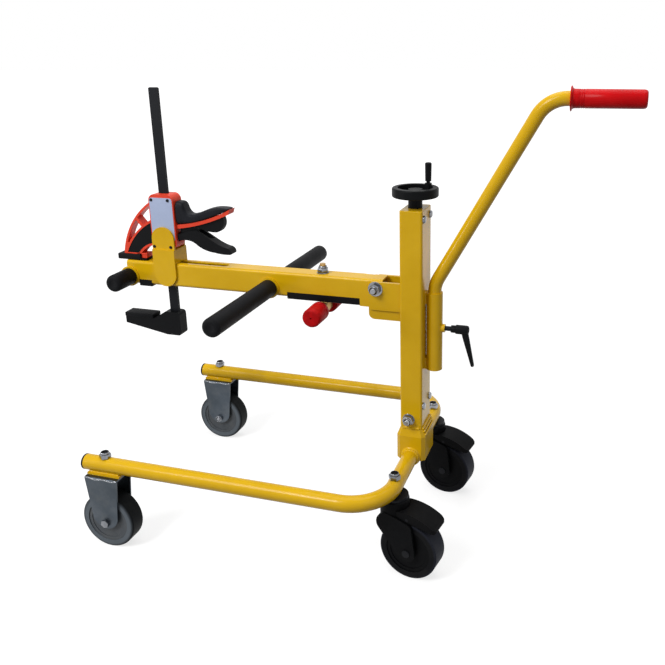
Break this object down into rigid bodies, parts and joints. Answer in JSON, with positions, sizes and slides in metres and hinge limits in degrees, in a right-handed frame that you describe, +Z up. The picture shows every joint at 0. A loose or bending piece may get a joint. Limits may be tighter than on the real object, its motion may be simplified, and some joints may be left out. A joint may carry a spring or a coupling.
{
  "type": "toilet pan trolley",
  "caption": "Wheeled lifting trolley with a U-shaped tube base, a mast with a hand-wheel screw lift, a tilting padded arm, a bar clamp that grips a toilet pan and a push handle.",
  "frame": {"origin": "on the floor, in the middle of the trolley's length and width", "axes": "+X from the pan end to the push handle, +Y across, +Z up"},
  "size_m": [0.9, 0.4516, 0.7741],
  "materials": {
    "yellow_paint": "semi-gloss powder coat",
    "zinc": "bright zinc plate",
    "dark_steel": "black oxide",
    "bright_steel": "turned steel",
    "bronze": "machined",
    "black_plastic": "fine-grained moulding",
    "grey_plastic": "satin moulding",
    "grey_tyre": "smooth tread",
    "black_tyre": "smooth tread",
    "black_rubber": "matt",
    "red_grip": "soft vinyl",
    "orange_plastic": "moulded",
    "label_grey": "bare satin plate"
  },
  "bodies": {
    "chassis": {"base_frame": "yellow_paint", "tube_end_plugs": "black_plastic", "mast_socket": "yellow_paint", "mast": "yellow_paint", "mast_cap": "yellow_paint", "foot_bearing": "bronze", "bearing_screws": "zinc", "chassis_bolts": "zinc", "lock_nuts": "zinc", "front_fork_left": "zinc", "front_fork_right": "zinc", "rear_castor_stems": "dark_steel", "handle_sleeve": "yellow_paint"},
    "lift": {"carriage": "yellow_paint", "lift_nut": "bronze", "pivot_bolt": "zinc", "pivot_nut": "zinc"},
    "spindle": {"lift_spindle": "bright_steel", "handwheel": "black_plastic"},
    "crank_grip": {"handwheel_grip": "black_plastic"},
    "arm": {"arm": "yellow_paint", "arm_pads": "black_rubber", "cross_rods": "bright_steel", "rod_sleeves": "black_rubber", "stop_tee": "bronze", "stop_caps": "red_grip", "stop_nut": "zinc"},
    "clamp": {"clamp_saddle": "yellow_paint", "clamp_body": "orange_plastic", "clamp_grip": "black_rubber", "jaw_insert": "black_plastic", "jaw_pad": "black_rubber", "label_plate": "label_grey", "clamp_screws": "dark_steel", "lock_plate": "dark_steel", "clamp_pins": "dark_steel"},
    "bar": {"clamp_bar": "dark_steel", "fixed_jaw": "black_plastic", "fixed_jaw_pad": "black_rubber"},
    "trigger": {"trigger": "black_plastic"},
    "release": {"release_lever": "black_plastic"},
    "handle": {"handle_tube": "yellow_paint", "handle_grip": "red_grip"},
    "lever": {"clamping_lever": "black_plastic", "clamping_stud": "dark_steel"},
    "front_wheel_left": {"front_wheel_left": "grey_plastic", "front_tyre_left": "grey_tyre"},
    "castor_left": {"rear_castor_left": "black_plastic", "rear_castor_pins_left": "dark_steel"},
    "rear_wheel_left": {"rear_wheel_left": "black_plastic", "rear_tyre_left": "black_tyre"},
    "pedal_left": {"brake_pedal_left": "black_plastic"},
    "front_wheel_right": {"front_wheel_right": "grey_plastic", "front_tyre_right": "grey_tyre"},
    "castor_right": {"rear_castor_right": "black_plastic", "rear_castor_pins_right": "dark_steel"},
    "rear_wheel_right": {"rear_wheel_right": "black_plastic", "rear_tyre_right": "black_tyre"},
    "pedal_right": {"brake_pedal_right": "black_plastic"}
  },
  "joints": [
    {"name": "front_wheel_left_spin", "type": "hinge", "parent": "chassis", "child": "front_wheel_left", "pos_m": [-0.383, -0.2, 0.05], "axis": [0, 1, 0], "continuous": true},
    {"name": "castor_left_swivel", "type": "hinge", "parent": "chassis", "child": "castor_left", "pos_m": [0.11, -0.13, 0.12], "axis": [0, 0, 1], "continuous": true},
    {"name": "rear_wheel_left_spin", "type": "hinge", "parent": "castor_left", "child": "rear_wheel_left", "pos_m": [0.14053, -0.13538, 0.05], "axis": [0.1736, 0.9848, 0], "continuous": true},
    {"name": "pedal_left_press", "type": "hinge", "parent": "castor_left", "child": "pedal_left", "pos_m": [0.14053, -0.13538, 0.1105], "axis": [0.1736, 0.9848, 0], "range_deg": [0, 6]},
    {"name": "front_wheel_right_spin", "type": "hinge", "parent": "chassis", "child": "front_wheel_right", "pos_m": [-0.383, 0.2, 0.05], "axis": [0, 1, 0], "continuous": true},
    {"name": "castor_right_swivel", "type": "hinge", "parent": "chassis", "child": "castor_right", "pos_m": [0.11, 0.13, 0.12], "axis": [0, 0, 1], "continuous": true},
    {"name": "rear_wheel_right_spin", "type": "hinge", "parent": "castor_right", "child": "rear_wheel_right", "pos_m": [0.14053, 0.12462, 0.05], "axis": [0.1736, 0.9848, 0], "continuous": true},
    {"name": "pedal_right_press", "type": "hinge", "parent": "castor_right", "child": "pedal_right", "pos_m": [0.14053, 0.12462, 0.1105], "axis": [0.1736, 0.9848, 0], "range_deg": [0, 6]},
    {"name": "spindle_turn", "type": "hinge", "parent": "chassis", "child": "spindle", "pos_m": [0.11, 0, 0.5], "axis": [0, 0, 1], "range_deg": [-8100, 11700]},
    {"name": "lift_slide", "type": "slide", "parent": "chassis", "child": "lift", "axis": [0, 0, 1], "range_m": [-0.13, 0.09]},
    {"name": "crank_grip_spin", "type": "hinge", "parent": "spindle", "child": "crank_grip", "pos_m": [0.12498, 0.02483, 0.63], "axis": [0, 0, 1], "continuous": true},
    {"name": "arm_tilt", "type": "hinge", "parent": "lift", "child": "arm", "pos_m": [0.048, 0, 0.448], "axis": [0, 1, 0], "range_deg": [0, 45]},
    {"name": "clamp_slide", "type": "slide", "parent": "arm", "child": "clamp", "axis": [1, 0, 0], "range_m": [0, 0.1]},
    {"name": "bar_slide", "type": "slide", "parent": "clamp", "child": "bar", "axis": [0, 0, 1], "range_m": [-0.12, 0.05]},
    {"name": "trigger_squeeze", "type": "hinge", "parent": "clamp", "child": "trigger", "pos_m": [-0.3305, 0, 0.5085], "axis": [0, -1, 0], "range_deg": [0, 6], "stiffness_Nm_per_rad": 0.5, "springref_deg": -11.46},
    {"name": "release_press", "type": "hinge", "parent": "clamp", "child": "release", "pos_m": [-0.272, 0, 0.544], "axis": [0, -1, 0], "range_deg": [0, 4], "stiffness_Nm_per_rad": 0.3, "springref_deg": -11.46},
    {"name": "handle_swivel", "type": "hinge", "parent": "chassis", "child": "handle", "pos_m": [0.1431, 0, 0.4], "axis": [0, 0, 1], "range_deg": [-90, 90]},
    {"name": "lever_turn", "type": "hinge", "parent": "chassis", "child": "lever", "pos_m": [0.18, 0, 0.3816], "axis": [1, 0, 0], "range_deg": [-90, 90]}
  ],
  "couplings": [
    {"joint": "spindle_turn", "follows": "lift_slide", "rad_per_m": -1570.8}
  ]
}
